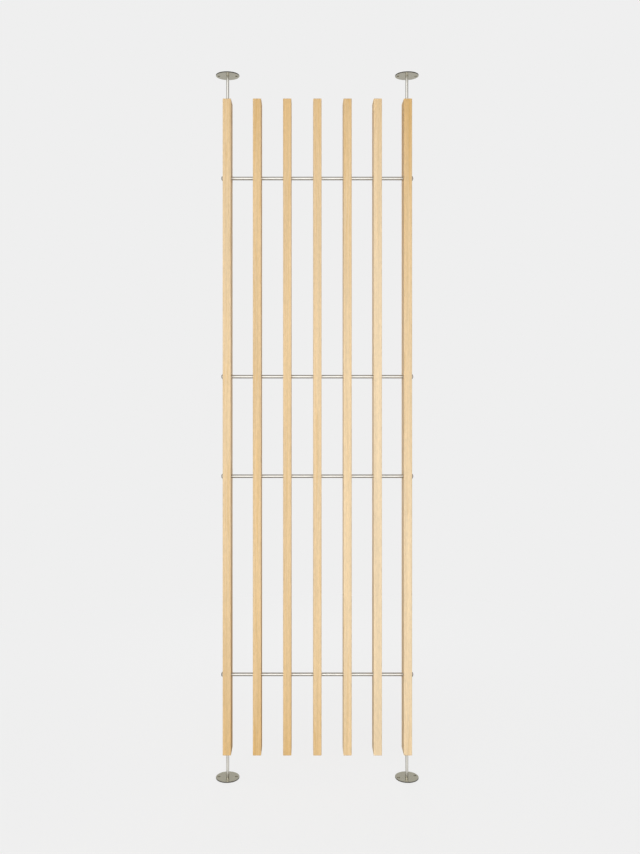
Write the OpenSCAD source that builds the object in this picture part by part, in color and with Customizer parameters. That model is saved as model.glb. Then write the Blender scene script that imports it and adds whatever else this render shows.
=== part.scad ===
// Rotating slat room divider, floor to ceiling, in millimetres.
// Seven timber slats turn on upright steel axles inside them. Four steel rods run
// across the row, through a flared mortise in each slat, and the axles cross the rods.
// The two end slats turn round steel posts, which end in screw-down plates.
// The origin is on the floor under the middle of the row. +X is to the right,
// seen from the front, +Y points to the back and +Z up.

/* [Room] */
// Height from floor to ceiling, which the divider fills
room_height = 2400; // [2350:10:2480]

/* [Slats] */
// Width of a slat, seen from the front
slat_width = 28; // [26:1:34]
// Depth of a slat, from front to back
slat_depth = 70; // [60:1:90]
// Clear gap between neighbouring slats
slat_gap = 74; // [65:1:100]
// Open height between the slats and the floor, and between them and the ceiling
end_space = 90; // [75:1:120]
// Radius of the rounded edges of a slat
slat_rounding = 2; // [1:0.5:4]
// Angle that a slat turns to each side
slat_turn = 20; // [10:1:24]

/* [Rods] */
// Outer diameter of a rod
rod_diameter = 12; // [11:0.5:14]
// Wall thickness of a rod, which is a tube
rod_wall = 2; // [1.5:0.25:2.5]
// Distance from the end of a slat to the outer rods
rod_inset = 263; // [200:1:320]
// Distance between the two rods near the middle
middle_rod_spacing = 340; // [240:5:480]

/* [Axles and pivot cups] */
// Diameter of an axle
axle_diameter = 6; // [5:0.5:6.5]
// Outer diameter of a pivot cup
cup_diameter = 12; // [10:0.5:14]
// Length of a pivot cup
cup_length = 18; // [14:1:24]
// Thickness of the closed end of a pivot cup
cup_floor = 3; // [2:0.5:4]

/* [Rod caps] */
// Diameter of a cap
cap_diameter = 16; // [15:0.5:18]
// Height of the straight rim of a cap
cap_rim = 0.8; // [0.5:0.1:1.5]
// Height of the dome above the rim
cap_dome = 3; // [2.6:0.1:4]
// Width across the flats of the hexagon socket in a cap
cap_socket = 4; // [3:0.5:5]
// Depth of the hexagon socket, from the top of the dome
cap_socket_depth = 2.5; // [2:0.1:3]

/* [Posts] */
// Diameter of a post
post_diameter = 10; // [10:0.5:13]
// Length of a post inside its slat
post_grip = 40; // [36:1:60]
// Distance that a top post can be screwed out, off its axle
post_raise = 20; // [5:1:25]
// Distance that a top post can be screwed in, onto its axle
post_lower = 10; // [5:1:20]
// Length of axle that stays in a top post when it is screwed all the way out
axle_hold = 15; // [10:1:25]
// Wall thickness of a post sleeve
sleeve_wall = 2; // [1.5:0.25:3]
// Length of a post sleeve
sleeve_length = 36; // [30:1:40]

/* [Plates] */
// Diameter of a plate
plate_diameter = 80; // [76:1:110]
// Thickness of a plate
plate_thickness = 3.5; // [3.2:0.1:6]
// Diameter of the circle that the two screw holes lie on
screw_circle = 60; // [50:1:66]
// Diameter of a screw hole
screw_hole = 5.5; // [4:0.1:6]
// Diameter of the countersink of a screw hole
screw_countersink = 10.5; // [8:0.1:11]
// Angle that the bottom right plate has been turned on its post
turned_plate = 15; // [-90:1:90]

/* [Plate pivot screws] */
// Thread diameter of a pivot screw
pivot_screw_diameter = 5; // [4:0.5:6]
// Head diameter of a pivot screw
pivot_head_diameter = 10; // [9.5:0.1:10.5]
// Length of a pivot screw
pivot_screw_length = 16; // [12:1:25]
// Depth that the screw head lies below the face of the plate
pivot_head_recess = 0.3; // [0.2:0.1:0.5]
// Width across the flats of the hexagon socket in a pivot screw
pivot_socket = 3; // [2:0.5:3]
// Depth of the hexagon socket in a pivot screw
pivot_socket_depth = 2; // [1.5:0.1:2.5]

/* [Clearances] */
// Gap round a steel part that turns or slides in its bearing
running_gap = 0.1; // [0.05:0.01:0.1]
// Gap between a rod and the timber round it
rod_gap = 0.3; // [0.3:0.1:0.6]
// Gap between an axle and the bore of its slat
bore_gap = 0.5; // [0.3:0.1:1]
// Gap between a turned end slat and the caps beside it
cap_gap = 0.3; // [0.3:0.1:1]
// Gap between the tip of an axle or a screw and the bottom of its hole
tip_gap = 0.5; // [0.3:0.1:1]

/* [Hidden] */
$fn = 96;
cut = 1;
slat_count = 7;
TOP = 1;
BOTTOM = -1;
LEFT = -1;
RIGHT = 1;

slat_pitch = slat_width + slat_gap;
slat_bottom = end_space;
slat_top = room_height - end_space;
slat_length = slat_top - slat_bottom;
slat_middle = (slat_top + slat_bottom) / 2;
row_end = (slat_count - 1) / 2 * slat_pitch;
rod_heights = [slat_top - rod_inset, slat_middle + middle_rod_spacing / 2,
               slat_middle - middle_rod_spacing / 2, slat_bottom + rod_inset];

// A turned slat just clears the rods: its mortise is narrow at the axle and flares
// towards both faces by the angle of the turn.
mortise_height = rod_diameter + 2 * rod_gap;
mortise_waist = mortise_height / cos(slat_turn);
mortise_flare = tan(slat_turn);

// The corner of a turned end slat swings out past its face, and the caps stand
// clear of it on the ends of the rods.
cap_radius = cap_diameter / 2;
cap_stand = (slat_width / 2 + cap_radius * sin(slat_turn)) / cos(slat_turn) + cap_gap;
rod_end = row_end + cap_stand;
rod_bore = rod_diameter - 2 * rod_wall;
cap_shank_diameter = rod_bore - running_gap;
cap_shank_length = cap_stand - axle_diameter / 2 - running_gap;

slat_bore = axle_diameter + 2 * bore_gap;
axle_bearing = axle_diameter + 2 * running_gap;
axle_chamfer = axle_diameter / 8;
axle_in_cup = cup_floor + tip_gap;

sleeve_bore = post_diameter + 2 * running_gap;
sleeve_diameter = sleeve_bore + 2 * sleeve_wall;
post_pocket = post_diameter + 2 * bore_gap;
post_pocket_depth = post_grip + post_lower + tip_gap;
post_length = end_space + post_grip - plate_thickness;
post_chamfer = post_diameter / 24;
top_axle_grip = axle_hold + post_raise;
bottom_axle_grip = top_axle_grip + post_lower;
post_bore_depth = bottom_axle_grip + tip_gap;

plate_chamfer = plate_thickness / 8;
screw_head_height = (pivot_head_diameter - pivot_screw_diameter) / 2;
post_screw_depth = pivot_screw_length - plate_thickness + pivot_head_recess;

timber = [0.90, 0.79, 0.61];
steel = [0.72, 0.71, 0.69];
nylon = [0.88, 0.87, 0.83];

// Slats are numbered from 1 at the left.
function slat_x(number) = (number - 1) * slat_pitch - row_end;
function is_end_slat(number) = number == 1 || number == slat_count;

// Puts its children, drawn upwards from z = 0, at the top or bottom end of slat
// `number`, pointing into the timber.
module at_slat_end(number, end) {
    translate([slat_x(number), 0, end == TOP ? slat_top : slat_bottom])
        mirror([0, 0, end == TOP ? 1 : 0])
            children();
}

// Puts its children, drawn upwards from the floor, on the floor or the ceiling under
// or over the end slat on one side.
module at_room_face(side, end) {
    translate([side * row_end, 0, end == TOP ? room_height : 0])
        mirror([0, 0, end == TOP ? 1 : 0])
            children();
}

// A flat rectangle about the origin, with rounded corners.
module rounded_rectangle(width, height, radius) {
    square([width - 2 * radius, height], center = true);
    square([width, height - 2 * radius], center = true);
    for (x = [-1, 1], y = [-1, 1])
        translate([x * (width / 2 - radius), y * (height / 2 - radius)])
            circle(r = radius);
}

// A slat with all of its edges rounded: three rounded prisms that cross at right angles.
module slat_blank() {
    intersection() {
        linear_extrude(slat_length, center = true)
            rounded_rectangle(slat_width, slat_depth, slat_rounding);
        rotate([90, 0, 0])
            linear_extrude(slat_depth + cut, center = true)
                rounded_rectangle(slat_width, slat_length, slat_rounding);
        rotate([90, 0, 90])
            linear_extrude(slat_width + cut, center = true)
                rounded_rectangle(slat_depth, slat_length, slat_rounding);
    }
}

// The mortise for one rod, seen from above: narrow at the axle and flared to both faces.
module mortise() {
    reach = slat_width / 2 + cut;
    waist = mortise_waist / 2;
    mouth = waist + reach * mortise_flare;
    linear_extrude(mortise_height, center = true)
        polygon([[0, waist], [-reach, mouth], [-reach, -mouth],
                 [0, -waist], [reach, -mouth], [reach, mouth]]);
}

// The holes in the end of a slat: a seat for the sleeve or cup, and room for the post.
module end_holes(number) {
    translate([0, 0, -cut])
        if (is_end_slat(number)) {
            cylinder(d = sleeve_diameter, h = sleeve_length + cut);
            cylinder(d = post_pocket, h = post_pocket_depth + cut);
        } else {
            cylinder(d = cup_diameter, h = cup_length + cut);
        }
}

module slat(number) {
    color(timber)
        difference() {
            translate([slat_x(number), 0, slat_middle])
                slat_blank();
            translate([slat_x(number), 0, slat_bottom - cut])
                cylinder(d = slat_bore, h = slat_length + 2 * cut);
            for (height = rod_heights)
                translate([slat_x(number), 0, height])
                    mortise();
            for (end = [TOP, BOTTOM])
                at_slat_end(number, end)
                    end_holes(number);
        }
}

// The closed bearings in the two ends of a slat between the end slats.
module pivot_cups(number) {
    color(nylon)
        for (end = [TOP, BOTTOM])
            at_slat_end(number, end)
                difference() {
                    cylinder(d = cup_diameter, h = cup_length);
                    translate([0, 0, cup_floor])
                        cylinder(d = axle_bearing, h = cup_length);
                }
}

// The open sleeves in the two ends of an end slat, which turn round the posts.
module post_sleeves(number) {
    color(nylon)
        for (end = [TOP, BOTTOM])
            at_slat_end(number, end)
                difference() {
                    cylinder(d = sleeve_diameter, h = sleeve_length);
                    translate([0, 0, -cut])
                        cylinder(d = sleeve_bore, h = sleeve_length + 2 * cut);
                }
}

// A round bar or disc from z = 0 upwards, with both ends chamfered.
module chamfered_bar(diameter, length, chamfer) {
    radius = diameter / 2;
    rotate_extrude()
        polygon([[0, 0], [radius - chamfer, 0], [radius, chamfer],
                 [radius, length - chamfer], [radius - chamfer, length], [0, length]]);
}

// An axle. Between the end slats it ends in the pivot cups, and in an end slat it
// runs on into the posts.
module axle(number) {
    low = is_end_slat(number)
        ? slat_bottom + post_grip - bottom_axle_grip
        : slat_bottom + axle_in_cup;
    high = is_end_slat(number)
        ? slat_top - post_grip + top_axle_grip
        : slat_top - axle_in_cup;
    color(steel)
        translate([slat_x(number), 0, low])
            chamfered_bar(axle_diameter, high - low, axle_chamfer);
}

// A rod: a tube across the whole row, cross-drilled for each axle.
module rod(height) {
    color(steel)
        translate([0, 0, height])
            difference() {
                rotate([0, 90, 0])
                    cylinder(d = rod_diameter, h = 2 * rod_end, center = true);
                rotate([0, 90, 0])
                    cylinder(d = rod_bore, h = 2 * rod_end + cut, center = true);
                for (number = [1 : slat_count])
                    translate([slat_x(number), 0, 0])
                        cylinder(d = axle_bearing, h = rod_diameter + cut, center = true);
            }
}

// A hexagon socket from z = 0 up to its mouth, given its width across the flats.
module hexagon_socket(flats, depth) {
    cylinder(d = flats / cos(30), h = depth + cut, $fn = 6);
}

// Half of a dome's outline: the part of a circle above z = 0 and right of the axis.
module dome_profile(radius, height) {
    ball = (radius * radius + height * height) / (2 * height);
    intersection() {
        translate([0, height - ball])
            circle(r = ball);
        square([radius + cut, height + cut]);
    }
}

// A domed cap. Its shank goes into the bore of the rod and clamps the end axle there.
module cap(height, side) {
    color(steel)
        translate([side * rod_end, 0, height])
            rotate([0, side * 90, 0])
                difference() {
                    union() {
                        cylinder(r = cap_radius, h = cap_rim);
                        translate([0, 0, cap_rim])
                            rotate_extrude()
                                dome_profile(cap_radius, cap_dome);
                        translate([0, 0, -cap_shank_length])
                            cylinder(d = cap_shank_diameter, h = cap_shank_length);
                    }
                    translate([0, 0, cap_rim + cap_dome - cap_socket_depth])
                        hexagon_socket(cap_socket, cap_socket_depth);
                }
}

// A post, drilled at its inner end for the axle and at its outer end for the screw.
module post(side, end) {
    color(steel)
        at_room_face(side, end)
            translate([0, 0, plate_thickness])
                difference() {
                    chamfered_bar(post_diameter, post_length, post_chamfer);
                    translate([0, 0, post_length - post_bore_depth])
                        cylinder(d = end == TOP ? axle_bearing : axle_diameter,
                                 h = post_bore_depth + cut);
                    translate([0, 0, -cut])
                        cylinder(d = pivot_screw_diameter,
                                 h = post_screw_depth + tip_gap + cut);
                }
}

// A round plate against the floor or the ceiling. Its two screw holes are countersunk
// on the side of the room, and the pivot hole on the side of the floor or ceiling.
module plate(side, end, turn) {
    sink = (screw_countersink - screw_hole) / 2;
    pivot_hole = pivot_screw_diameter + 2 * running_gap;
    pivot_mouth = pivot_head_diameter + 2 * running_gap + 2 * pivot_head_recess;
    pivot_sink = (pivot_mouth - pivot_hole) / 2;
    color(steel)
        at_room_face(side, end)
            rotate([0, 0, turn])
                difference() {
                    chamfered_bar(plate_diameter, plate_thickness, plate_chamfer);
                    for (x = [-1, 1])
                        translate([x * screw_circle / 2, 0, 0]) {
                            translate([0, 0, -cut])
                                cylinder(d = screw_hole, h = plate_thickness + 2 * cut);
                            translate([0, 0, plate_thickness - sink])
                                cylinder(d1 = screw_hole, d2 = screw_countersink + 2 * cut,
                                         h = sink + cut);
                        }
                    translate([0, 0, -cut])
                        cylinder(d = pivot_hole, h = plate_thickness + 2 * cut);
                    translate([0, 0, -cut])
                        cylinder(d1 = pivot_mouth + 2 * cut, d2 = pivot_hole,
                                 h = pivot_sink + cut);
                }
}

// The countersunk screw that holds a plate to its post and lets it turn.
module plate_screw(side, end) {
    color(steel)
        at_room_face(side, end)
            translate([0, 0, pivot_head_recess])
                difference() {
                    union() {
                        cylinder(d1 = pivot_head_diameter, d2 = pivot_screw_diameter,
                                 h = screw_head_height);
                        cylinder(d = pivot_screw_diameter, h = pivot_screw_length);
                    }
                    translate([0, 0, -cut])
                        hexagon_socket(pivot_socket, pivot_socket_depth);
                }
}

slat(1);  // slat_1
slat(2);  // slat_2
slat(3);  // slat_3
slat(4);  // slat_4
slat(5);  // slat_5
slat(6);  // slat_6
slat(7);  // slat_7
post_sleeves(1);  // post_sleeves_1
pivot_cups(2);  // pivot_cups_2
pivot_cups(3);  // pivot_cups_3
pivot_cups(4);  // pivot_cups_4
pivot_cups(5);  // pivot_cups_5
pivot_cups(6);  // pivot_cups_6
post_sleeves(7);  // post_sleeves_7
axle(1);  // axle_1
axle(2);  // axle_2
axle(3);  // axle_3
axle(4);  // axle_4
axle(5);  // axle_5
axle(6);  // axle_6
axle(7);  // axle_7
rod(rod_heights[0]);  // top_rod
rod(rod_heights[1]);  // upper_rod
rod(rod_heights[2]);  // lower_rod
rod(rod_heights[3]);  // bottom_rod
cap(rod_heights[0], LEFT);  // top_left_cap
cap(rod_heights[1], LEFT);  // upper_left_cap
cap(rod_heights[2], LEFT);  // lower_left_cap
cap(rod_heights[3], LEFT);  // bottom_left_cap
cap(rod_heights[0], RIGHT);  // top_right_cap
cap(rod_heights[1], RIGHT);  // upper_right_cap
cap(rod_heights[2], RIGHT);  // lower_right_cap
cap(rod_heights[3], RIGHT);  // bottom_right_cap
post(LEFT, TOP);  // top_left_post
post(RIGHT, TOP);  // top_right_post
post(LEFT, BOTTOM);  // bottom_left_post
post(RIGHT, BOTTOM);  // bottom_right_post
plate(LEFT, TOP, 0);  // top_left_plate
plate(RIGHT, TOP, 0);  // top_right_plate
plate(LEFT, BOTTOM, 0);  // bottom_left_plate
plate(RIGHT, BOTTOM, turned_plate);  // bottom_right_plate
plate_screw(LEFT, TOP);  // top_left_plate_screw
plate_screw(RIGHT, TOP);  // top_right_plate_screw
plate_screw(LEFT, BOTTOM);  // bottom_left_plate_screw
plate_screw(RIGHT, BOTTOM);  // bottom_right_plate_screw
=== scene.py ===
import math

import bpy
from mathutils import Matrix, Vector


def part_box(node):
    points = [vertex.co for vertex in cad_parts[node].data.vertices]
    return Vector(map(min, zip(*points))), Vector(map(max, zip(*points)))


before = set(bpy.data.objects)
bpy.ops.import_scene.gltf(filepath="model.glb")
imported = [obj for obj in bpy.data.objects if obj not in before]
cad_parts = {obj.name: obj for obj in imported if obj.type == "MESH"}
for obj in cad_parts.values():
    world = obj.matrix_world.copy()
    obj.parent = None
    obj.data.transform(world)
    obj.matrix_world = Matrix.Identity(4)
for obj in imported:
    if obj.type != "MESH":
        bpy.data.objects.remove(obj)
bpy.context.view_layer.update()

bl_info = {
    "name": "Rotating slat room divider",
    "version": (1, 1, 0),
    "blender": (4, 5, 0),
    "location": "View3D > Sidebar > Divider",
    "description": "Finishes the parts of a slat room divider and sets up a pale studio",
    "category": "Object",
}

# The divider's parts. Slats are numbered from 1 at the left.
SLATS = range(1, 8)
SIDES = ("left", "right")
LEVELS = ("top", "upper", "lower", "bottom")
ENDS = ("top", "bottom")
MM = 0.001

# What tells one slat from another: how pale it is, how much paler a painted sheen makes it
# towards its top, and where the middle of its tree was, in millimetres from the slat's own
# middle.
SLAT_LOOKS = {
    1: (0.74, 0.12, (60, 70)),
    2: (0.59, 0.00, (-45, 60)),
    3: (0.64, 0.00, (75, -65)),
    4: (0.76, 0.00, (-90, 80)),
    5: (0.86, -0.15, (55, -90)),
    6: (1.16, -0.20, (-70, -85)),
    7: (0.87, -0.38, (95, 60)),
}

# Patterns of the wood: the cells of its flecks and the mottling of the planed grain, and the
# bends of the tree and the broad bands of the grain, per metre. Fibres and bands are STRETCH
# times as long as they are wide, and a band moves the growth rings by up to BAND_RINGS rings.
RAY_WIDTH, RAY_LENGTH = 1.5 * MM, 7 * MM
MOTTLE_WIDTH, MOTTLE_LENGTH = 4 * MM, 16 * MM
BENDS, BANDS, STRETCH, BAND_RINGS = 1.1, 90.0, 50, 3.0

# How strong the flecks are, how deep the fibres lie, and how much they change the roughness of
# the lacquer.
FLECK_STRENGTH, FIBRE_DEPTH, LACQUER_SPREAD = 0.3, 0.05 * MM, 0.04

# One growth ring, as (place in the year, darkness): pale early wood, dark late wood, and the
# step back. The first two stops are the ends of the year.
RING_STOPS = ((0.0, 0.25), (1.0, 0.25), (0.12, 0.0), (0.55, 0.15), (0.88, 0.85), (0.96, 1.0))

# A fleck, as (distance from its middle, strength).
FLECK_STOPS = ((0.0, 1.0), (0.24, 0.0), (0.16, 0.9))

# Each slat takes its bends and its fibres from its own place in the noise, which lies so far
# from its neighbour's.
BEND_STEP, FIBRE_STEP = 7.3, 2.1

# Patterns of the steel: the lines of drawn bar, the rings of a faced plate, its dull rim,
# which is painted dark as a painted reflection, and how softly that starts, the smudges on
# each kind of piece, and how deep lines and rings are.
LINE_WIDTH, LINE_LENGTH = 0.35 * MM, 40 * MM
PLATE_RING, PLATE_RIM, RIM_EDGE, RIM_ROUGHNESS = 0.4 * MM, 0.4 * MM, 0.2 * MM, 0.45
BAR_SMUDGE, PLATE_SMUDGE, CAP_SMUDGE = 25 * MM, 20 * MM, 4 * MM
MARK_DEPTH = 0.005 * MM

# How much lines or rings, and how much smudges, change the roughness of steel.
MARK_ROUGHNESS, SMUDGE_ROUGHNESS = 0.05, 0.07

# Patterns of the nylon: its tool rings, how deep they are, and its milky mottling.
TOOL_RING, TOOL_DEPTH, MILK_SIZE = 0.25 * MM, 0.02 * MM, 4 * MM

# Noise seldom leaves this range, so its whole effect is drawn from it.
NOISE_LOW, NOISE_HIGH = 0.3, 0.7

# Zones of the floor, in metres: where each starts to change and where it stops. The first two
# are distances from the middle of the divider, the next two are depths, which are negative in
# front of the row, and the last is a distance from the middle of the strip.
SHADOW_ZONE, SHADE_ZONE = (0.8, 2.5), (2.0, 5.0)
BEHIND_ZONE, GLOW_ZONE = (-0.02, 0.12), (-0.02, -0.3)
STRIP_DEPTH, STRIP_ZONE = -0.62, (0.25, 0.42)

# Zones of the room, as cosines of the angle to each one's middle: where its light starts and
# where it is full.
LIGHT_ZONE, END_ZONE, MIRROR_ZONE = (0.6, 0.95), (0.75, 0.95), (0.3, 0.75)

# Each lamp's place, width and height, in metres. It faces the row at its own height.
LAMPS = {
    "left": ((-0.6, -3.4, 2.0), 2.6, 3.4),
    "right": ((0.45, -2.4, 0.7), 2.4, 1.3),
    "back": ((0.0, 3.4, 1.5), 1.6, 2.6),
}
SENSOR_WIDTH = 36

MATH, VECTOR_MATH, NOISE = "ShaderNodeMath", "ShaderNodeVectorMath", "ShaderNodeTexNoise"
MAPPING, MAP_RANGE, MIX = "ShaderNodeMapping", "ShaderNodeMapRange", "ShaderNodeMix"
RAMP, BUMP, COORDINATES = "ShaderNodeValToRGB", "ShaderNodeBump", "ShaderNodeTexCoord"
MIX_SHADER, LIGHT_PATH = "ShaderNodeMixShader", "ShaderNodeLightPath"


def linear(colour):
    """A colour written as sRGB hex, as linear red, green, blue and alpha."""
    parts = [int(colour[i:i + 2], 16) / 255 for i in (1, 3, 5)]
    return [c / 12.92 if c <= 0.04045 else ((c + 0.055) / 1.055) ** 2.4 for c in parts] + [1.0]


def blended(first, second, share):
    """The colour that lies that share of the way from the first to the second."""
    return [a + (b - a) * share for a, b in zip(first, second)]


def middle(name):
    """The middle of a CAD node, in metres."""
    low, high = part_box(name)
    return Vector([(a + b) / 2 for a, b in zip(low, high)])


def add_node(tree, kind, links=None, stops=(), **settings):
    """Adds a node with its settings and links. `links` gives each input socket a plain value,
    another node, which stands for its first output, or one of a node's outputs. `stops` are
    the (position, level) pairs of a colour ramp."""
    node = tree.nodes.new(kind)
    for name, value in settings.items():
        setattr(node, name, value)
    for socket, value in (links or {}).items():
        if isinstance(value, bpy.types.Node):
            value = value.outputs[0]
        if isinstance(value, bpy.types.NodeSocket):
            tree.links.new(value, node.inputs[socket])
        else:
            node.inputs[socket].default_value = value
    for number, (position, level) in enumerate(stops):
        elements = node.color_ramp.elements
        element = elements[number] if number < 2 else elements.new(position)
        element.position = position
        element.color = (level, level, level, 1.0)
    return node


def new_material(name, links):
    """A material with one Principled shader, whose sockets take `links`. Returns the material,
    its tree, its shader and the object's coordinates."""
    material = bpy.data.materials.new(name)
    material.use_nodes = True
    tree = material.node_tree
    tree.nodes.clear()
    shader = add_node(tree, "ShaderNodeBsdfPrincipled", links)
    add_node(tree, "ShaderNodeOutputMaterial", {"Surface": shader})
    place = add_node(tree, COORDINATES).outputs["Object"]
    return material, tree, shader, place


def finish_node(name, material):
    """Gives a CAD node its material."""
    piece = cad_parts[name]
    piece.data.materials.clear()
    piece.data.materials.append(material)


def lacquered_beech(p, number):
    """Planed beech under clear satin lacquer, for one slat.

    The eye sees straw-coloured wood with soft lengthwise streaks where the growth rings meet
    the face, fine fibres, the small dark flecks of beech, and a faint sheen from the lacquer.
    A painted sheen from the lamps also makes each slat paler along a band of its height, so
    that it looks yellower at both ends. The pattern is one solid field, so the streaks run on
    round the edges, and the rings show on the end grain, which drinks more lacquer and is
    darker.
    """
    paleness, sheen_tilt, (pith_x, pith_y) = SLAT_LOOKS[number]
    low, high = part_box(f"slat_{number}")
    centre = middle(f"slat_{number}")
    material, tree, shader, place = new_material(f"lacquered_beech_{number}", {
        "IOR": 1.5, "Specular IOR Level": p.lacquer_gloss})

    # Growth rings: distance from the middle of the tree, which wanders along the slat.
    along = add_node(tree, MAPPING, {
        "Vector": place, "Location": (0, 0, BEND_STEP * number), "Scale": (0, 0, BENDS)})
    wander = add_node(tree, NOISE, {"Vector": along, "Scale": 1.0, "Detail": 2.0})
    across = add_node(tree, MAPPING, {
        "Vector": place, "Location": (-centre.x - pith_x * MM, -centre.y - pith_y * MM, 0),
        "Scale": (1, 1, 0)})
    bent = add_node(tree, VECTOR_MATH, {
        0: wander.outputs["Color"], 1: (p.ring_wander, p.ring_wander, 0), 2: across},
        operation="MULTIPLY_ADD")
    radius = add_node(tree, VECTOR_MATH, {0: bent}, operation="LENGTH").outputs["Value"]
    lengthwise = add_node(tree, MAPPING, {
        "Vector": place, "Location": (FIBRE_STEP * number, 0, 0),
        "Scale": (1, 1, 1 / STRETCH)})
    broad = add_node(tree, NOISE, {"Vector": lengthwise, "Scale": BANDS, "Detail": 0.5})
    fibres = add_node(tree, NOISE, {
        "Vector": lengthwise, "Scale": 1 / p.fibre_width, "Detail": 4.0, "Roughness": 0.6})
    uneven = add_node(tree, MATH, {0: broad, 1: BAND_RINGS}, operation="MULTIPLY")
    turns = add_node(tree, MATH, {0: radius, 1: 1 / p.ring_spacing, 2: uneven},
                     operation="MULTIPLY_ADD")
    year = add_node(tree, MATH, {0: turns}, operation="FRACT")
    ring = add_node(tree, RAMP, {"Fac": year}, stops=RING_STOPS)

    # Flecks: the rays of the wood cut across, dark spindles 2 to 3 mm long.
    cells = add_node(tree, MAPPING, {
        "Vector": place, "Scale": (1 / RAY_WIDTH, 1 / RAY_WIDTH, 1 / RAY_LENGTH)})
    fleck = add_node(tree, RAMP, {
        "Fac": add_node(tree, "ShaderNodeTexVoronoi", {"Vector": cells, "Scale": 1.0})},
        stops=FLECK_STOPS)

    # Paleness: from straw to white wood, less in the rings, and tilted along the slat and less
    # at both its ends by a painted sheen.
    height = add_node(tree, MAP_RANGE, {
        0: add_node(tree, "ShaderNodeSeparateXYZ", {0: place}).outputs[2],
        1: low[2], 2: high[2], 3: -1.0, 4: 1.0})
    # The tilt along the slat and the loss at its ends are painted sheen, not the wood's own
    # colour.
    level = add_node(tree, MATH, {0: height, 1: sheen_tilt, 2: paleness}, operation="MULTIPLY_ADD")
    end = add_node(tree, MATH, {0: height, 1: 4.0}, operation="POWER")
    for part, loss in ((end, p.end_sheen_loss), (ring, p.ring_depth)):
        level = add_node(tree, MATH, {0: part, 1: -loss, 2: level}, operation="MULTIPLY_ADD")
    wood = add_node(tree, MIX, {
        "Factor": level, 6: list(p.straw_wood), 7: list(p.white_wood)},
        data_type="RGBA").outputs[2]

    # Shade: 10 per cent darker on the end grain, up to 30 in its rings, and both darker and
    # paler by the fibres, the broad bands and the mottling.
    up = add_node(tree, "ShaderNodeSeparateXYZ", {0: place.node.outputs["Normal"]}).outputs[2]
    flat = add_node(tree, MATH, {0: up}, operation="ABSOLUTE")
    end_grain = add_node(tree, MAP_RANGE, {0: flat, 1: 0.5, 2: 0.9, 3: 0.0, 4: 1.0})
    ring_loss = add_node(tree, MATH, {0: ring, 1: -0.2, 2: -0.1}, operation="MULTIPLY_ADD")
    shade = add_node(tree, MATH, {0: end_grain, 1: ring_loss, 2: 1.0},
                     operation="MULTIPLY_ADD")
    spots = add_node(tree, MAPPING, {
        "Vector": place, "Scale": (1 / MOTTLE_WIDTH, 1 / MOTTLE_WIDTH, 1 / MOTTLE_LENGTH)})
    mottle = add_node(tree, NOISE, {"Vector": spots, "Scale": 1.0, "Detail": 2.0})
    for pattern, darkest, palest in (
            (fibres, 0.92, 1.06), (broad, 0.95, 1.05), (mottle, 0.94, 1.06)):
        part = add_node(tree, MAP_RANGE, {
            0: pattern, 1: NOISE_LOW, 2: NOISE_HIGH, 3: darkest, 4: palest})
        shade = add_node(tree, MATH, {0: part, 1: shade}, operation="MULTIPLY")
    grained = add_node(tree, VECTOR_MATH, {0: wood, "Scale": shade}, operation="SCALE")
    strength = add_node(tree, MATH, {0: fleck, 1: FLECK_STRENGTH}, operation="MULTIPLY")
    flecked = add_node(tree, MIX, {
        "Factor": strength, 6: grained, 7: list(p.fleck_wood)}, data_type="RGBA").outputs[2]
    tree.links.new(flecked, shader.inputs["Base Color"])

    rough = add_node(tree, MAP_RANGE, {
        0: fibres, 1: NOISE_LOW, 2: NOISE_HIGH, 3: p.lacquer_roughness - LACQUER_SPREAD,
        4: p.lacquer_roughness + LACQUER_SPREAD})
    tree.links.new(rough.outputs[0], shader.inputs["Roughness"])
    bump = add_node(tree, BUMP, {"Strength": 0.2, "Distance": FIBRE_DEPTH, "Height": fibres})
    tree.links.new(bump.outputs[0], shader.inputs["Normal"])
    return material


def machine_steel(tree, shader, place, marks, smudge_size, roughness):
    """Gives steel the bump of its lines or rings, and returns a roughness that they and
    smudges change about the given one, which is right because noise is 0.5 on average."""
    bump = add_node(tree, BUMP, {"Strength": 0.1, "Distance": MARK_DEPTH, "Height": marks})
    tree.links.new(bump.outputs[0], shader.inputs["Normal"])
    smudge = add_node(tree, NOISE, {"Vector": place, "Scale": 1 / smudge_size, "Detail": 2.0})
    marked = add_node(tree, MATH, {
        0: marks, 1: MARK_ROUGHNESS,
        2: roughness - (MARK_ROUGHNESS + SMUDGE_ROUGHNESS) / 2}, operation="MULTIPLY_ADD")
    return add_node(tree, MATH, {0: smudge, 1: SMUDGE_ROUGHNESS, 2: marked},
                    operation="MULTIPLY_ADD")


def drawn_steel(p, name, colour, along):
    """Polished bright-drawn stainless steel bar, drawn along axis number `along`.

    The eye sees a mirror-like round bar that is softened by fine lines along its length,
    with faint smudges that change its gloss. The lines of real bar are 0.02 mm apart; these
    are coarser so that they show.
    """
    material, tree, shader, place = new_material(name, {
        "Base Color": list(colour), "Metallic": 1.0})
    scale = [1 / LINE_WIDTH] * 3
    scale[along] = 1 / LINE_LENGTH
    drawn = add_node(tree, MAPPING, {"Vector": place, "Scale": scale})
    lines = add_node(tree, NOISE, {"Vector": drawn, "Scale": 1.0, "Detail": 3.0})
    rough = machine_steel(tree, shader, place, lines, BAR_SMUDGE, p.bar_roughness)
    tree.links.new(rough.outputs[0], shader.inputs["Roughness"])
    return material


def polished_cap_steel(p):
    """Stainless steel cap nuts, turned and buffed, with soft smudges in their gloss. Their
    colour is painted darker than the bar's, a painted shade for the dim sides of a room that
    their domes mirror."""
    material, tree, shader, place = new_material("polished_cap_steel", {
        "Base Color": list(p.shaded_cap_steel), "Metallic": 1.0})
    smudge = add_node(tree, NOISE, {"Vector": place, "Scale": 1 / CAP_SMUDGE, "Detail": 2.0})
    rough = add_node(tree, MATH, {0: smudge, 1: 0.1, 2: 0.13}, operation="MULTIPLY_ADD")
    tree.links.new(rough.outputs[0], shader.inputs["Roughness"])
    return material


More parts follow.
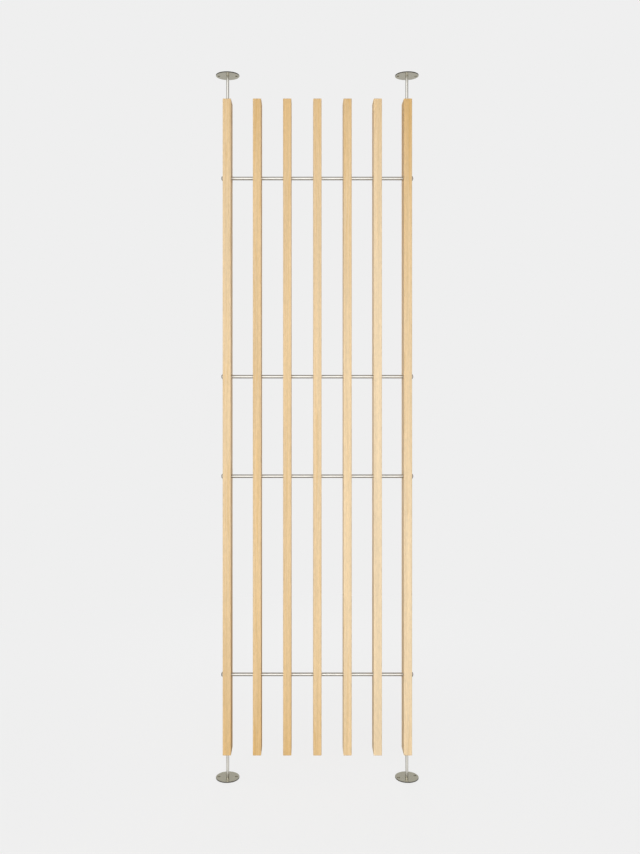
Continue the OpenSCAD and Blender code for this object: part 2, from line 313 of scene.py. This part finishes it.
def turned_plate_steel(p):
    """Stainless steel discs, faced on a lathe and polished, with the rim left dull.

    The eye sees a grey disc that mirrors its post, with fine rings round its centre. Its faces
    are painted darker than the bar's steel, a painted shade so that they mirror the bright
    backdrop as a grey, and its rim is painted darker still, a painted reflection of the dark
    floor or ceiling that a rounded edge mirrors, which draws a dark line. The rings of real
    plates are 0.1 mm apart; these are coarser so that they show.
    """
    material, tree, shader, place = new_material("turned_plate_steel", {"Metallic": 1.0})
    low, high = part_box("top_right_plate")
    row_end, edge = (low[0] + high[0]) / 2, (high[0] - low[0]) / 2 - PLATE_RIM

    # Left and right plates lie alike, so the distance from a post is taken on one side.
    mirrored = add_node(tree, VECTOR_MATH, {0: place}, operation="ABSOLUTE")
    off = add_node(tree, MAPPING, {
        "Vector": mirrored, "Location": (-row_end, 0, 0), "Scale": (1, 1, 0)})
    radius = add_node(tree, VECTOR_MATH, {0: off}, operation="LENGTH").outputs["Value"]
    groove = add_node(tree, MATH, {0: radius, 1: PLATE_RING}, operation="DIVIDE")
    rings = add_node(tree, NOISE, {"W": groove, "Scale": 1.0, "Detail": 3.0},
                     noise_dimensions="1D")
    # The rim mask gives a painted dark reflection in the colour, and a real dullness in the
    # roughness.
    rim = add_node(tree, MAP_RANGE, {0: radius, 1: edge, 2: edge + RIM_EDGE, 3: 0.0, 4: 1.0})
    colour = add_node(tree, MIX, {
        "Factor": rim, 6: list(p.plate_steel), 7: list(p.shaded_rim_steel)},
        data_type="RGBA").outputs[2]
    tree.links.new(colour, shader.inputs["Base Color"])
    face_rough = machine_steel(tree, shader, place, rings, PLATE_SMUDGE, p.plate_roughness)
    rough = add_node(tree, MIX, {"Factor": rim, 2: face_rough, 3: RIM_ROUGHNESS})
    tree.links.new(rough.outputs[0], shader.inputs["Roughness"])
    return material


def turned_nylon(p):
    """Natural nylon, turned on a lathe: milky, off-white and matt, with faint tool rings."""
    material, tree, shader, place = new_material("turned_nylon", {
        "IOR": 1.53, "Subsurface Weight": 0.15, "Subsurface Radius": (0.003, 0.003, 0.003),
        "Subsurface Scale": 1.0})
    mottle = add_node(tree, NOISE, {"Vector": place, "Scale": 1 / MILK_SIZE, "Detail": 3.0})
    colour = add_node(tree, MIX, {
        "Factor": mottle, 6: blended(p.nylon, (0, 0, 0, 1), 0.12), 7: list(p.nylon)},
        data_type="RGBA").outputs[2]
    tree.links.new(colour, shader.inputs["Base Color"])
    tool = add_node(tree, MAPPING, {"Vector": place, "Scale": (60.0, 60.0, 1 / TOOL_RING)})
    rings = add_node(tree, NOISE, {"Vector": tool, "Scale": 1.0, "Detail": 2.0})
    rough = add_node(tree, MATH, {0: rings, 1: 0.1, 2: 0.42}, operation="MULTIPLY_ADD")
    tree.links.new(rough.outputs[0], shader.inputs["Roughness"])
    bump = add_node(tree, BUMP, {"Strength": 0.3, "Distance": TOOL_DEPTH, "Height": rings})
    tree.links.new(bump.outputs[0], shader.inputs["Normal"])
    return material


def colour_property(name, description, colour):
    """A colour that a user can change. Its default is written as sRGB hex."""
    return bpy.props.FloatVectorProperty(
        name=name, description=description, default=linear(colour), size=4, min=0.0, max=1.0,
        subtype="COLOR")


class DividerFinish(bpy.types.PropertyGroup):
    """Colours and sizes of the divider's materials."""
    straw_wood: colour_property(
        "Straw wood", "The yellowest beech", "#D2A966")
    white_wood: colour_property(
        "White wood", "The palest beech", "#E5CDA7")
    fleck_wood: colour_property(
        "Fleck", "The small flecks of beech", "#8E6238")
    ring_spacing: bpy.props.FloatProperty(
        name="Ring spacing", description="Width of one growth ring", default=5 * MM,
        min=0.5 * MM, max=10 * MM, unit="LENGTH")
    ring_depth: bpy.props.FloatProperty(
        name="Ring depth", description="How much less pale the late wood of a ring is",
        default=0.3, min=0.0, max=1.0, subtype="FACTOR")
    # Painted sheen: the ends of a slat are made less pale, because no sheen is painted there.
    end_sheen_loss: bpy.props.FloatProperty(
        name="End depth", description="How much less pale the ends of a slat are",
        default=0.34, min=0.0, max=1.0, subtype="FACTOR")
    ring_wander: bpy.props.FloatProperty(
        name="Ring wander", description="How far the rings wander along a slat",
        default=20 * MM, min=0.0, max=100 * MM, unit="LENGTH")
    fibre_width: bpy.props.FloatProperty(
        name="Fibre width", description="Width of a bundle of fibres. Real ones are 0.2 mm; "
        "these are coarser so that they show", default=1.2 * MM,
        min=0.1 * MM, max=5 * MM, unit="LENGTH")
    lacquer_gloss: bpy.props.FloatProperty(
        name="Lacquer gloss", description="Strength of the lacquer's reflection, where 0.5 is "
        "a full coat", default=0.6, min=0.0, max=1.0, subtype="FACTOR")
    lacquer_roughness: bpy.props.FloatProperty(
        name="Lacquer roughness", description="Roughness of the satin lacquer", default=0.6,
        min=0.0, max=1.0, subtype="FACTOR")
    rod_steel: colour_property(
        "Rod steel", "Tubes of the four rods", "#C6C3BC")
    # The posts are the rods' steel painted paler, a painted highlight so that they mirror more
    # brightly.
    lit_post_steel: colour_property(
        "Post steel", "Posts, axles and plate screws", "#DDDAD2")
    # Painted shade: the caps are the bar's steel painted darker, for the dim room their domes
    # mirror.
    shaded_cap_steel: colour_property(
        "Cap steel", "Domed caps on the ends of the rods", "#98958D")
    bar_roughness: bpy.props.FloatProperty(
        name="Bar roughness", description="Roughness of the polished bar", default=0.32,
        min=0.1, max=1.0, subtype="FACTOR")
    # Painted shade: the faces are the bar's steel painted darker, so they mirror the backdrop as
    # a grey.
    plate_steel: colour_property(
        "Plate steel", "Faces of the round plates", "#ABA795")
    # Painted reflection: the rim is painted dark for the dark floor or ceiling its rounded edge
    # mirrors.
    shaded_rim_steel: colour_property(
        "Plate rim", "Dull rim of a round plate", "#5C5952")
    plate_roughness: bpy.props.FloatProperty(
        name="Plate roughness", description="Roughness of the faces of a plate", default=0.27,
        min=0.1, max=1.0, subtype="FACTOR")
    nylon: colour_property(
        "Nylon", "Cups and sleeves in the ends of the slats", "#F0ECE0")


class DividerStudio(bpy.types.PropertyGroup):
    """Sizes and colours of the studio."""
    backdrop: colour_property(
        "Backdrop", "Floor and background, as the camera and the steel see them", "#EFEFEF")
    floor_paint: colour_property(
        "Floor paint", "Floor, as the rest of the light meets it", "#D2D2D2")
    floor_size: bpy.props.FloatProperty(
        name="Floor size", description="Length of a side of the floor", default=120.0,
        min=10.0, max=500.0, unit="LENGTH")
    floor_light: bpy.props.FloatProperty(
        name="Light on the floor", description="Light that the open floor gets, which is taken "
        "off where shadows are mixed in", default=0.77, min=0.0, max=2.0)
    shadow: bpy.props.FloatProperty(
        name="Shadow", description="Share of real shading in the floor near the divider",
        default=0.15, min=0.0, max=1.0, subtype="FACTOR")
    mirrored_shade: bpy.props.FloatProperty(
        name="Mirrored shade", description="How much dimmer the steel mirrors the floor behind "
        "the row", default=0.8, min=0.0, max=1.0, subtype="FACTOR")
    mirrored_strip: bpy.props.FloatProperty(
        name="Mirrored strip", description="How much dimmer the steel mirrors a strip of the "
        "floor in front of the row", default=0.8, min=0.0, max=1.0, subtype="FACTOR")
    mirrored_front: bpy.props.FloatProperty(
        name="Mirrored front", description="How bright the steel mirrors the front of the room, "
        "where the backdrop is 1", default=1.1, min=0.0, max=3.0)
    mirrored_sides: bpy.props.FloatProperty(
        name="Mirrored sides", description="How bright the steel mirrors the sides of the room, "
        "where the backdrop is 1", default=0.48, min=0.0, max=3.0)
    side_light: bpy.props.FloatProperty(
        name="Light at the sides", description="Radiance of the room at the level of the "
        "horizon, at the sides and behind", default=0.15, min=0.0, max=2.0)
    sky_light: bpy.props.FloatProperty(
        name="Light above", description="What the room adds to that overhead",
        default=0.30, min=0.0, max=2.0)
    lean: bpy.props.FloatProperty(
        name="Light from the left", description="What the room adds at the left, and takes off "
        "at the right", default=0.16, min=-1.0, max=1.0)
    swing: bpy.props.FloatProperty(
        name="Swing of the light in front", description="How far left of straight in front the "
        "middle of that light is", default=math.radians(16), min=-1.5, max=1.5,
        subtype="ANGLE")
    front_light: bpy.props.FloatProperty(
        name="Light in front", description="What the room adds to that in front of the row",
        default=2.03, min=0.0, max=5.0)
    back_light: bpy.props.FloatProperty(
        name="Light behind", description="What the room adds to that behind the row",
        default=0.8, min=0.0, max=3.0)
    end_light: bpy.props.FloatProperty(
        name="Light at the ends", description="What the room adds to that beyond both ends of "
        "the row", default=0.9, min=0.0, max=3.0)
    left_strength: bpy.props.FloatProperty(
        name="Left lamp", description="Radiance of the left lamp's face",
        default=0.9, min=0.0, max=50.0)
    right_strength: bpy.props.FloatProperty(
        name="Right lamp", description="Radiance of the right lamp's face",
        default=1.25, min=0.0, max=50.0)
    back_strength: bpy.props.FloatProperty(
        name="Back lamp", description="Radiance of the back lamp's face",
        default=3.0, min=0.0, max=50.0)
    camera_place: bpy.props.FloatVectorProperty(
        name="Camera place", description="Where the camera stands",
        default=(-0.0438, -3.0016, 1.3768), subtype="TRANSLATION", unit="LENGTH")
    lens: bpy.props.FloatProperty(
        name="Lens", description="Focal length in millimetres", default=37.03, min=10, max=200,
        unit="CAMERA")
    shift: bpy.props.FloatVectorProperty(
        name="Shift", description="Shift of the picture, in parts of its long side", size=2,
        default=(0.01823, -0.06127))


class DIVIDER_OT_finish_slats(bpy.types.Operator):
    """Gives the seven slats their lacquered beech"""
    bl_idname = "divider.finish_slats"
    bl_label = "Finish the slats"

    def execute(self, context):
        for number in SLATS:
            beech = lacquered_beech(context.scene.divider_finish, number)
            finish_node(f"slat_{number}", beech)
        return {"FINISHED"}


class DIVIDER_OT_finish_rods(bpy.types.Operator):
    """Gives the rods and their caps their polished steel"""
    bl_idname = "divider.finish_rods"
    bl_label = "Finish the rods and caps"

    def execute(self, context):
        p = context.scene.divider_finish
        steel = drawn_steel(p, "drawn_steel_rods", p.rod_steel, 0)
        turned = polished_cap_steel(p)
        for level in LEVELS:
            finish_node(f"{level}_rod", steel)
            for side in SIDES:
                finish_node(f"{level}_{side}_cap", turned)
        return {"FINISHED"}


class DIVIDER_OT_finish_posts(bpy.types.Operator):
    """Gives the posts, the axles and the plate screws their polished steel"""
    bl_idname = "divider.finish_posts"
    bl_label = "Finish the posts and axles"

    def execute(self, context):
        p = context.scene.divider_finish
        # The posts' steel is the rods' steel painted paler, as a painted highlight.
        steel = drawn_steel(p, "drawn_steel_posts", p.lit_post_steel, 2)
        for number in SLATS:
            finish_node(f"axle_{number}", steel)
        for end in ENDS:
            for side in SIDES:
                finish_node(f"{end}_{side}_post", steel)
                finish_node(f"{end}_{side}_plate_screw", steel)
        return {"FINISHED"}


class DIVIDER_OT_finish_plates(bpy.types.Operator):
    """Gives the four round plates their turned steel"""
    bl_idname = "divider.finish_plates"
    bl_label = "Finish the plates"

    def execute(self, context):
        steel = turned_plate_steel(context.scene.divider_finish)
        for end in ENDS:
            for side in SIDES:
                finish_node(f"{end}_{side}_plate", steel)
        return {"FINISHED"}


class DIVIDER_OT_finish_bearings(bpy.types.Operator):
    """Gives the cups and sleeves in the ends of the slats their nylon"""
    bl_idname = "divider.finish_bearings"
    bl_label = "Finish the bearings"

    def execute(self, context):
        nylon = turned_nylon(context.scene.divider_finish)
        for number in SLATS:
            kind = "post_sleeves" if number in (SLATS[0], SLATS[-1]) else "pivot_cups"
            finish_node(f"{kind}_{number}", nylon)
        return {"FINISHED"}


def sees_backdrop(tree):
    """1 for a ray from the camera, or one that metal or glass sends on, else 0."""
    path = add_node(tree, LIGHT_PATH).outputs
    mirrored = add_node(tree, MATH, {
        0: path["Is Glossy Ray"], 1: path["Is Transmission Ray"]}, operation="MAXIMUM")
    return add_node(tree, MATH, {0: path["Is Camera Ray"], 1: mirrored}, operation="MAXIMUM")


def mirrored_change(p, tree, place, away):
    """How much brighter than the camera the steel sees the floor: less in a shade behind the
    row, more in a glow in front of it, and less in a dim strip in that glow, which darkens the
    undersides of the rods."""
    depth = add_node(tree, "ShaderNodeSeparateXYZ", {0: place}).outputs[1]
    near = add_node(tree, MAP_RANGE, {
        0: away, 1: SHADE_ZONE[0], 2: SHADE_ZONE[1],
        3: -p.backdrop[1] * p.mirrored_shade, 4: 0.0}, interpolation_type="SMOOTHSTEP")
    behind = add_node(tree, MAP_RANGE, {
        0: depth, 1: BEHIND_ZONE[0], 2: BEHIND_ZONE[1], 3: 0.0, 4: 1.0})
    glow = add_node(tree, MAP_RANGE, {
        0: depth, 1: GLOW_ZONE[0], 2: GLOW_ZONE[1],
        3: 0.0, 4: p.backdrop[1] * (p.mirrored_front - 1)})
    across = add_node(tree, MATH, {0: depth, 1: -STRIP_DEPTH}, operation="ADD")
    off_strip = add_node(tree, MATH, {0: across}, operation="ABSOLUTE")
    strip = add_node(tree, MAP_RANGE, {
        0: off_strip, 1: STRIP_ZONE[0], 2: STRIP_ZONE[1],
        3: -p.backdrop[1] * p.mirrored_strip, 4: 0.0}, interpolation_type="SMOOTHSTEP")
    in_front = add_node(tree, MATH, {0: glow, 1: strip}, operation="ADD")
    return add_node(tree, MATH, {0: behind, 1: near, 2: in_front}, operation="MULTIPLY_ADD")


def make_floor(p):
    """A flat square under the divider. The camera and the steel see it in the backdrop's
    colour, less the light that the divider keeps off it, so its shadow shows; the steel also
    sees a shade behind the row, and a glow with a dim strip in front of it. For all other
    light it is a pale matt floor."""
    half = p.floor_size / 2
    mesh = bpy.data.meshes.new("floor")
    mesh.from_pydata([(-half, -half, 0), (half, -half, 0), (half, half, 0), (-half, half, 0)],
                     [], [(0, 1, 2, 3)])
    floor = bpy.data.objects.new("floor", mesh)
    bpy.context.scene.collection.objects.link(floor)
    material = bpy.data.materials.new("pale_floor")
    material.use_nodes = True
    tree = material.node_tree
    tree.nodes.clear()
    place = add_node(tree, COORDINATES).outputs["Object"]
    away = add_node(tree, VECTOR_MATH, {0: place}, operation="LENGTH").outputs["Value"]
    share = add_node(tree, MAP_RANGE, {
        0: away, 1: SHADOW_ZONE[0], 2: SHADOW_ZONE[1], 3: p.shadow, 4: 0.0},
        interpolation_type="SMOOTHSTEP")
    shaded = add_node(tree, VECTOR_MATH, {0: (1, 1, 1), "Scale": share}, operation="SCALE")
    level = add_node(tree, MATH, {0: share, 1: -p.floor_light, 2: p.backdrop[1]},
                     operation="MULTIPLY_ADD")
    change = mirrored_change(p, tree, place, away)
    level = add_node(tree, MATH, {
        0: change, 1: add_node(tree, LIGHT_PATH).outputs["Is Glossy Ray"], 2: level},
        operation="MULTIPLY_ADD")
    seen = add_node(tree, "ShaderNodeAddShader", {
        0: add_node(tree, "ShaderNodeBsdfDiffuse", {"Color": shaded}),
        1: add_node(tree, "ShaderNodeEmission", {"Strength": level})})
    paint = add_node(tree, "ShaderNodeBsdfDiffuse", {"Color": list(p.floor_paint)})
    mixed = add_node(tree, MIX_SHADER, {0: sees_backdrop(tree), 1: paint, 2: seen})
    add_node(tree, "ShaderNodeOutputMaterial", {"Surface": mixed})
    mesh.materials.append(material)


def make_room_light(p):
    """The world. The camera sees the backdrop's colour, and the steel sees it behind the row,
    dimmed at the sides and above, and with a glow in front. Any other ray that leaves in the
    direction (x, y, z) meets side_light + sky_light * z - lean * x, with front_light more in
    front of the row and a little to the left, back_light more behind it and end_light more
    beyond both its ends, as in a white studio that is lit along its length."""
    world = bpy.data.worlds.new("studio")
    world.use_nodes = True
    tree = world.node_tree
    tree.nodes.clear()
    direction = add_node(tree, COORDINATES).outputs["Generated"]
    way = add_node(tree, "ShaderNodeSeparateXYZ", {0: direction})
    forward = add_node(tree, VECTOR_MATH, {
        0: direction, 1: (-math.sin(p.swing), -math.cos(p.swing), 0)},
        operation="DOT_PRODUCT").outputs["Value"]
    in_front = add_node(tree, MAP_RANGE, {
        0: forward, 1: LIGHT_ZONE[0], 2: LIGHT_ZONE[1], 3: 0.0, 4: 1.0},
        interpolation_type="SMOOTHSTEP")
    behind = add_node(tree, MAP_RANGE, {
        0: way.outputs[1], 1: LIGHT_ZONE[0], 2: LIGHT_ZONE[1], 3: 0.0, 4: 1.0},
        interpolation_type="SMOOTHSTEP")
    sideways = add_node(tree, MATH, {0: way.outputs[0]}, operation="ABSOLUTE")
    at_ends = add_node(tree, MAP_RANGE, {
        0: sideways, 1: END_ZONE[0], 2: END_ZONE[1], 3: 0.0, 4: 1.0},
        interpolation_type="SMOOTHSTEP")
    level = p.side_light
    for axis, change in ((2, p.sky_light), (0, -p.lean)):
        level = add_node(tree, MATH, {0: way.outputs[axis], 1: change, 2: level},
                         operation="MULTIPLY_ADD")
    for part, light in ((in_front, p.front_light), (behind, p.back_light),
                        (at_ends, p.end_light)):
        level = add_node(tree, MATH, {0: part, 1: light, 2: level}, operation="MULTIPLY_ADD")
    back_glow = add_node(tree, MAP_RANGE, {
        0: way.outputs[1], 1: LIGHT_ZONE[0], 2: LIGHT_ZONE[1],
        3: p.mirrored_sides, 4: 1.0}, interpolation_type="SMOOTHSTEP")
    front_glow = add_node(tree, MAP_RANGE, {
        0: forward, 1: MIRROR_ZONE[0], 2: MIRROR_ZONE[1],
        3: 0.0, 4: p.mirrored_front - p.mirrored_sides}, interpolation_type="SMOOTHSTEP")
    mirrored = add_node(tree, MATH, {0: back_glow, 1: front_glow}, operation="ADD")
    path = add_node(tree, LIGHT_PATH).outputs
    seen = add_node(tree, MIX, {"Factor": path["Is Camera Ray"], 2: mirrored, 3: 1.0})
    room = add_node(tree, "ShaderNodeBackground", {"Color": (1, 1, 1, 1), "Strength": level})
    shown = add_node(tree, "ShaderNodeBackground", {
        "Color": list(p.backdrop), "Strength": seen})
    mixed = add_node(tree, MIX_SHADER, {0: sees_backdrop(tree), 1: room, 2: shown})
    add_node(tree, "ShaderNodeOutputWorld", {"Surface": mixed})
    bpy.context.scene.world = world


def make_lamp(name, place, width, height, radiance):
    """A soft rectangular lamp that faces the row at its own height and doesn't show in the
    picture. Its power is its radiance times its area times pi."""
    light = bpy.data.lights.new(name, "AREA")
    light.shape = "RECTANGLE"
    light.size, light.size_y = width, height
    light.energy = radiance * width * height * math.pi
    lamp = bpy.data.objects.new(name, light)
    lamp.location = place
    to_row = Vector((place[0], 0, place[2])) - Vector(place)
    lamp.rotation_euler = to_row.to_track_quat("-Z", "Y").to_euler()
    lamp.visible_camera = False
    bpy.context.scene.collection.objects.link(lamp)
    return lamp


def all_but_the_plates():
    """A collection that, as a lamp's receivers, stands for all objects but the four plates."""
    collection = bpy.data.collections.new("all_but_the_plates")
    for end in ENDS:
        for side in SIDES:
            collection.objects.link(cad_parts[f"{end}_{side}_plate"])
    for left_out in collection.collection_objects:
        left_out.light_linking.link_state = "EXCLUDE"
    return collection


class DIVIDER_OT_set_stage(bpy.types.Operator):
    """Sets up the floor, the room's light, the lamps and the camera"""
    bl_idname = "divider.set_stage"
    bl_label = "Set the stage"

    def execute(self, context):
        p = context.scene.divider_studio
        make_floor(p)
        make_room_light(p)
        # The two lamps in front are mirrored in the steel and the lacquer, but kept off the
        # flat plates, which they would turn white when seen from behind. The lamp behind only
        # lights the back of the row.
        receivers = all_but_the_plates()
        for name, (place, width, height) in LAMPS.items():
            lamp = make_lamp(f"{name}_lamp", place, width, height,
                             getattr(p, f"{name}_strength"))
            lamp.visible_glossy = name != "back"
            if lamp.visible_glossy:
                lamp.light_linking.receiver_collection = receivers
        camera = bpy.data.cameras.new("camera")
        camera.lens = p.lens
        camera.sensor_width = SENSOR_WIDTH
        camera.shift_x, camera.shift_y = p.shift
        stand = bpy.data.objects.new("camera", camera)
        stand.location = p.camera_place
        stand.rotation_euler = (math.radians(90), 0, 0)
        context.scene.collection.objects.link(stand)
        context.scene.camera = stand
        context.scene.view_settings.view_transform = "Standard"
        return {"FINISHED"}


class DIVIDER_PT_sidebar(bpy.types.Panel):
    """Lists the steps that finish the divider"""
    bl_idname = "DIVIDER_PT_sidebar"
    bl_label = "Slat room divider"
    bl_space_type = "VIEW_3D"
    bl_region_type = "UI"
    bl_category = "Divider"

    def draw(self, context):
        for operator in OPERATORS:
            self.layout.operator(operator.bl_idname)
        for group in (context.scene.divider_finish, context.scene.divider_studio):
            for name in group.__annotations__:
                self.layout.prop(group, name)


OPERATORS = (DIVIDER_OT_finish_slats, DIVIDER_OT_finish_rods, DIVIDER_OT_finish_posts,
             DIVIDER_OT_finish_plates, DIVIDER_OT_finish_bearings, DIVIDER_OT_set_stage)
CLASSES = (DividerFinish, DividerStudio, *OPERATORS, DIVIDER_PT_sidebar)


def register():
    for cls in CLASSES:
        bpy.utils.register_class(cls)
    bpy.types.Scene.divider_finish = bpy.props.PointerProperty(type=DividerFinish)
    bpy.types.Scene.divider_studio = bpy.props.PointerProperty(type=DividerStudio)


def unregister():
    del bpy.types.Scene.divider_studio
    del bpy.types.Scene.divider_finish
    for cls in reversed(CLASSES):
        bpy.utils.unregister_class(cls)


def main():
    register()
    bpy.ops.divider.finish_slats()
    bpy.ops.divider.finish_rods()
    bpy.ops.divider.finish_posts()
    bpy.ops.divider.finish_plates()
    bpy.ops.divider.finish_bearings()
    bpy.ops.divider.set_stage()


if __name__ == "__main__":
    main()
